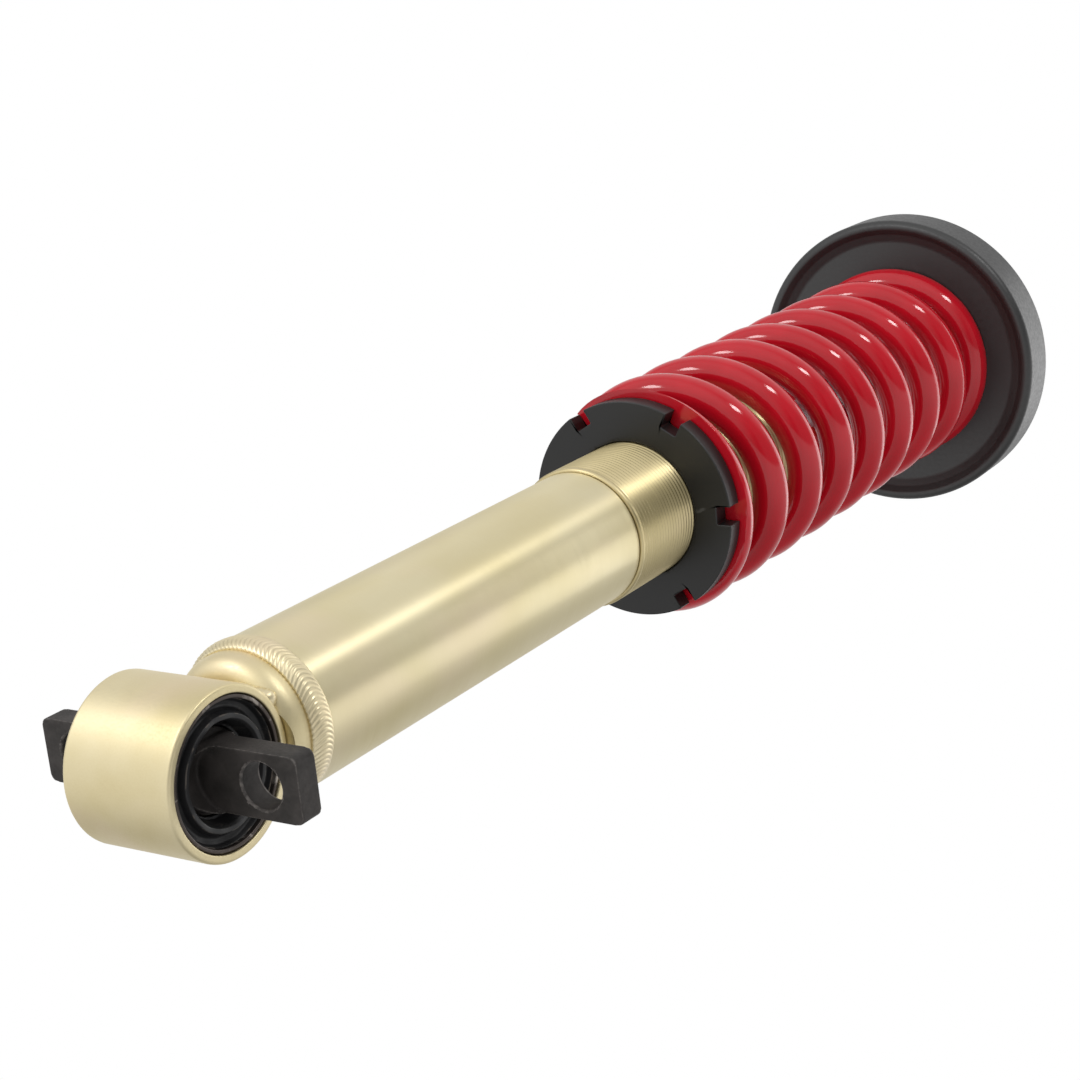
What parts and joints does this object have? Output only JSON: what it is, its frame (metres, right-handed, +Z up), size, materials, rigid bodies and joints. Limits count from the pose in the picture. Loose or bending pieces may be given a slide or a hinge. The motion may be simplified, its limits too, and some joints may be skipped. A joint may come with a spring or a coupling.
{
  "type": "coilover strut",
  "caption": "Front coilover strut: gas damper in a threaded barrel, red coil spring on a screwed collar, rubber top mount with studs and a bar-pin bush below.",
  "frame": {"origin": "centre of the stud plate's upper face, where the strut bolts up to the vehicle; the centre itself is over the plate's socket hole", "axes": "+Z up along the strut's axis, +X along the bar pin, +Y square to both, so that the collar's set screw points to -X and +Y at rest"},
  "size_m": [0.1364, 0.1364, 0.5893],
  "materials": {
    "gold_zinc": "yellow passivated zinc plate with fine turning marks",
    "thread_zinc": "yellow passivated zinc plate on a fine rolled thread",
    "black_anodised": "satin black anodised aluminium",
    "red_powder_coat": "gloss red powder coat",
    "black_powder_coat": "semi-gloss black powder coat",
    "forged_steel": "dark phosphated forged steel, worn lighter at the edges",
    "black_rubber": "moulded black rubber",
    "hard_chrome": "ground hard chrome",
    "bright_steel": "bright spring steel",
    "plated_steel": "clear zinc plated steel",
    "aluminium": "machined aluminium",
    "slide_polymer": "filled low-friction polymer",
    "bump_foam": "microcellular polyurethane foam"
  },
  "bodies": {
    "top_mount": {"stud_plate": "black_powder_coat", "mount_stud_1": "plated_steel", "mount_stud_2": "plated_steel", "mount_stud_3": "plated_steel", "isolator_rubber": "black_rubber"},
    "rod_group": {"piston_rod": "hard_chrome", "piston": "aluminium", "piston_band": "slide_polymer", "compression_shims": "bright_steel", "rebound_shims": "bright_steel", "piston_nut": "plated_steel", "rebound_bumper": "black_rubber", "bump_stop": "bump_foam", "bump_washer": "plated_steel", "pan_washer_lower": "plated_steel", "pan_washer_upper": "plated_steel", "rod_nut": "plated_steel", "upper_spring_pan": "black_powder_coat", "coil_spring": "red_powder_coat"},
    "perch": {"slip_washer": "slide_polymer"},
    "collar": {"adjuster_collar": "black_anodised", "collar_lock_pad": "slide_polymer", "collar_set_screw": "plated_steel"},
    "barrel": {"damper_tube": "gold_zinc", "threaded_sleeve": "thread_zinc", "rod_guide": "aluminium", "guide_bush": "slide_polymer", "shaft_seal": "black_rubber", "seal_washer": "plated_steel", "barrel_cap": "black_anodised", "rod_wiper": "black_rubber", "base_cup": "gold_zinc", "base_weld": "gold_zinc", "eye_weld_front": "gold_zinc", "eye_weld_rear": "gold_zinc", "lower_eye": "gold_zinc", "bush_outer_sleeve": "forged_steel", "bush_rubber": "black_rubber"},
    "gas_piston": {"floating_piston": "aluminium", "floating_piston_seal": "black_rubber"},
    "bar_pin_body": {"bar_pin": "forged_steel"}
  },
  "joints": [
    {"name": "isolator_flex", "type": "hinge", "parent": "top_mount", "child": "rod_group", "pos_m": [0, 0, -0.012], "axis": [1, 0, 0], "range_deg": [-3, 3], "stiffness_Nm_per_rad": 250, "deforming": ["isolator_rubber"]},
    {"name": "stroke", "type": "slide", "parent": "rod_group", "child": "perch", "axis": [0, 0, 1], "range_m": [0, 0.1], "stiffness_N_per_m": 110000, "springref_m": -0.003, "deforming": ["coil_spring"]},
    {"name": "collar_turn", "type": "hinge", "parent": "perch", "child": "collar", "pos_m": [0, 0, -0.27], "axis": [0, 0, -1], "range_deg": [0, 5400]},
    {"name": "ride_height", "type": "slide", "parent": "perch", "child": "barrel", "axis": [0, 0, 1], "range_m": [0, 0.03]},
    {"name": "gas_travel", "type": "slide", "parent": "barrel", "child": "gas_piston", "axis": [0, 0, -1], "range_m": [0, 0.0102]},
    {"name": "bar_pin_pivot", "type": "hinge", "parent": "barrel", "child": "bar_pin_body", "pos_m": [0, 0, -0.54], "axis": [1, 0, 0], "range_deg": [-15, 15], "stiffness_Nm_per_rad": 10}
  ],
  "couplings": [
    {"joint": "collar_turn", "follows": "ride_height", "rad_per_m": 3141.6},
    {"joint": "gas_travel", "follows": "stroke", "ratio": 0.1012}
  ]
}
